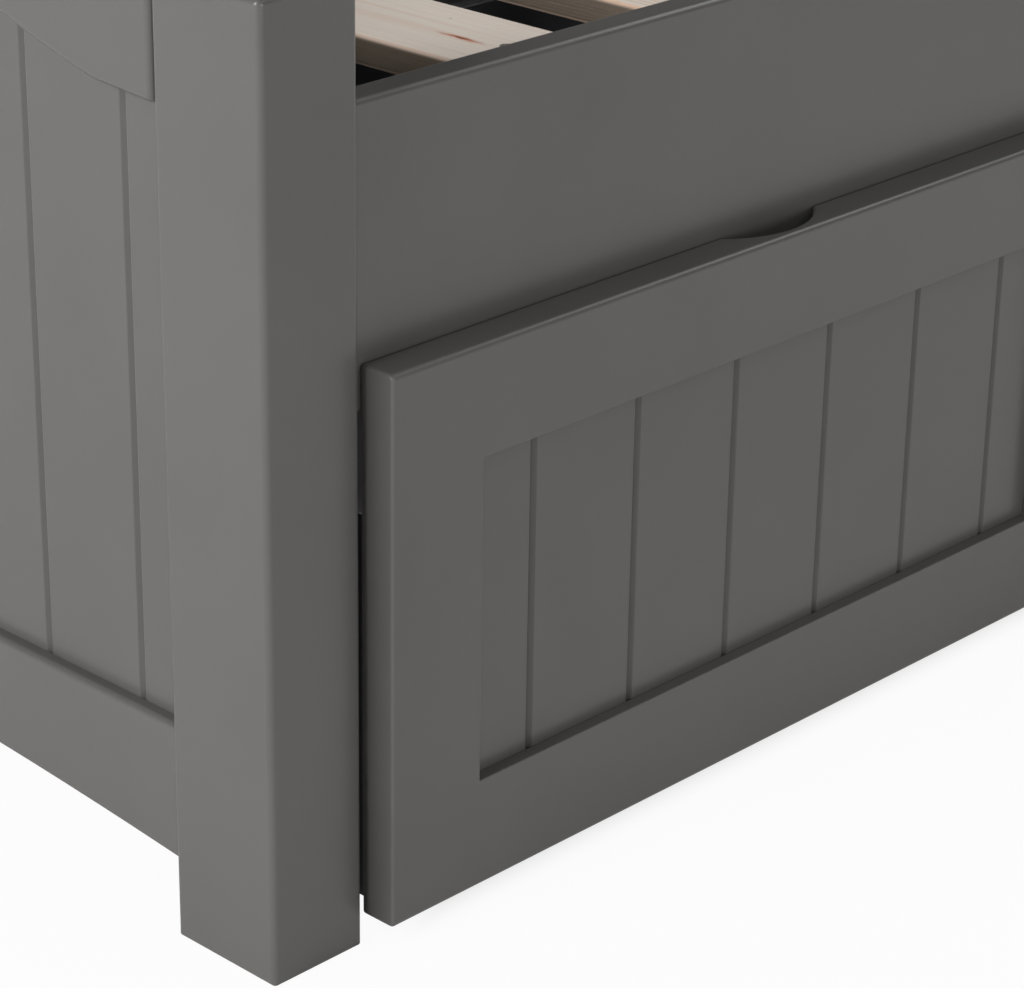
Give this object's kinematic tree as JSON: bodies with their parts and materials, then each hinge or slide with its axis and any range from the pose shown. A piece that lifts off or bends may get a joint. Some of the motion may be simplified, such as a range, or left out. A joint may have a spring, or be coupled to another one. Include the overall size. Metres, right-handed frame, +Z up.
{
  "type": "storage daybed",
  "caption": "Painted daybed with serpentine end rails, grooved panels, a slatted base and roll-out drawers with finger recesses.",
  "frame": {"origin": "on the floor, midway between the two ends and midway between the closed drawer fronts and the back of the back posts", "axes": "+X along the bed to the right end seen from the front, +Y from the drawer fronts to the back, +Z up"},
  "size_m": [2.1334, 0.9938, 0.8802],
  "materials": {
    "grey_painted_board": "satin warm grey paint on board and solid wood",
    "pine": "planed bare pine",
    "drawer_board": "plain board inside the drawers",
    "nylon": "black moulded nylon"
  },
  "bodies": {
    "bed_frame": {"front_post_left": "grey_painted_board", "front_post_right": "grey_painted_board", "back_post_left": "grey_painted_board", "back_post_right": "grey_painted_board", "end_top_rail_left": "grey_painted_board", "end_top_rail_right": "grey_painted_board", "end_panel_left": "grey_painted_board", "end_panel_right": "grey_painted_board", "end_low_rail_left": "grey_painted_board", "end_low_rail_right": "grey_painted_board", "front_side_rail": "grey_painted_board", "back_side_rail": "grey_painted_board", "back_top_rail": "grey_painted_board", "back_panel": "grey_painted_board", "front_bearer": "pine", "back_bearer": "pine", "slat_01": "pine", "slat_02": "pine", "slat_03": "pine", "slat_04": "pine", "slat_05": "pine", "slat_06": "pine", "slat_07": "pine", "slat_08": "pine", "slat_09": "pine", "slat_10": "pine", "slat_11": "pine", "slat_12": "pine"},
    "drawer_1": {"drawer_1_front_frame": "grey_painted_board", "drawer_1_front_panel": "grey_painted_board", "drawer_1_side_left": "drawer_board", "drawer_1_side_right": "drawer_board", "drawer_1_back": "drawer_board", "drawer_1_bottom": "drawer_board"},
    "drawer_1_roller_front_left": {"drawer_1_roller_front_left": "nylon"},
    "drawer_1_roller_rear_left": {"drawer_1_roller_rear_left": "nylon"},
    "drawer_1_roller_front_right": {"drawer_1_roller_front_right": "nylon"},
    "drawer_1_roller_rear_right": {"drawer_1_roller_rear_right": "nylon"},
    "drawer_2": {"drawer_2_front_frame": "grey_painted_board", "drawer_2_front_panel": "grey_painted_board", "drawer_2_side_left": "drawer_board", "drawer_2_side_right": "drawer_board", "drawer_2_back": "drawer_board", "drawer_2_bottom": "drawer_board"},
    "drawer_2_roller_front_left": {"drawer_2_roller_front_left": "nylon"},
    "drawer_2_roller_rear_left": {"drawer_2_roller_rear_left": "nylon"},
    "drawer_2_roller_front_right": {"drawer_2_roller_front_right": "nylon"},
    "drawer_2_roller_rear_right": {"drawer_2_roller_rear_right": "nylon"},
    "drawer_3": {"drawer_3_front_frame": "grey_painted_board", "drawer_3_front_panel": "grey_painted_board", "drawer_3_side_left": "drawer_board", "drawer_3_side_right": "drawer_board", "drawer_3_back": "drawer_board", "drawer_3_bottom": "drawer_board"},
    "drawer_3_roller_front_left": {"drawer_3_roller_front_left": "nylon"},
    "drawer_3_roller_rear_left": {"drawer_3_roller_rear_left": "nylon"},
    "drawer_3_roller_front_right": {"drawer_3_roller_front_right": "nylon"},
    "drawer_3_roller_rear_right": {"drawer_3_roller_rear_right": "nylon"}
  },
  "joints": [
    {"name": "drawer_1_slide", "type": "slide", "parent": "bed_frame", "child": "drawer_1", "axis": [0, -1, 0], "range_m": [0, 0.55]},
    {"name": "drawer_1_roller_front_left_spin", "type": "hinge", "parent": "drawer_1", "child": "drawer_1_roller_front_left", "pos_m": [-0.9547, -0.40175, 0.022], "axis": [1, 0, 0], "continuous": true},
    {"name": "drawer_1_roller_rear_left_spin", "type": "hinge", "parent": "drawer_1", "child": "drawer_1_roller_rear_left", "pos_m": [-0.9547, 0.17765, 0.022], "axis": [1, 0, 0], "continuous": true},
    {"name": "drawer_1_roller_front_right_spin", "type": "hinge", "parent": "drawer_1", "child": "drawer_1_roller_front_right", "pos_m": [-0.3753, -0.40175, 0.022], "axis": [1, 0, 0], "continuous": true},
    {"name": "drawer_1_roller_rear_right_spin", "type": "hinge", "parent": "drawer_1", "child": "drawer_1_roller_rear_right", "pos_m": [-0.3753, 0.17765, 0.022], "axis": [1, 0, 0], "continuous": true},
    {"name": "drawer_2_slide", "type": "slide", "parent": "bed_frame", "child": "drawer_2", "axis": [0, -1, 0], "range_m": [0, 0.55]},
    {"name": "drawer_2_roller_front_left_spin", "type": "hinge", "parent": "drawer_2", "child": "drawer_2_roller_front_left", "pos_m": [-0.2897, -0.40175, 0.022], "axis": [1, 0, 0], "continuous": true},
    {"name": "drawer_2_roller_rear_left_spin", "type": "hinge", "parent": "drawer_2", "child": "drawer_2_roller_rear_left", "pos_m": [-0.2897, 0.17765, 0.022], "axis": [1, 0, 0], "continuous": true},
    {"name": "drawer_2_roller_front_right_spin", "type": "hinge", "parent": "drawer_2", "child": "drawer_2_roller_front_right", "pos_m": [0.2897, -0.40175, 0.022], "axis": [1, 0, 0], "continuous": true},
    {"name": "drawer_2_roller_rear_right_spin", "type": "hinge", "parent": "drawer_2", "child": "drawer_2_roller_rear_right", "pos_m": [0.2897, 0.17765, 0.022], "axis": [1, 0, 0], "continuous": true},
    {"name": "drawer_3_slide", "type": "slide", "parent": "bed_frame", "child": "drawer_3", "axis": [0, -1, 0], "range_m": [0, 0.55]},
    {"name": "drawer_3_roller_front_left_spin", "type": "hinge", "parent": "drawer_3", "child": "drawer_3_roller_front_left", "pos_m": [0.3753, -0.40175, 0.022], "axis": [1, 0, 0], "continuous": true},
    {"name": "drawer_3_roller_rear_left_spin", "type": "hinge", "parent": "drawer_3", "child": "drawer_3_roller_rear_left", "pos_m": [0.3753, 0.17765, 0.022], "axis": [1, 0, 0], "continuous": true},
    {"name": "drawer_3_roller_front_right_spin", "type": "hinge", "parent": "drawer_3", "child": "drawer_3_roller_front_right", "pos_m": [0.9547, -0.40175, 0.022], "axis": [1, 0, 0], "continuous": true},
    {"name": "drawer_3_roller_rear_right_spin", "type": "hinge", "parent": "drawer_3", "child": "drawer_3_roller_rear_right", "pos_m": [0.9547, 0.17765, 0.022], "axis": [1, 0, 0], "continuous": true}
  ]
}
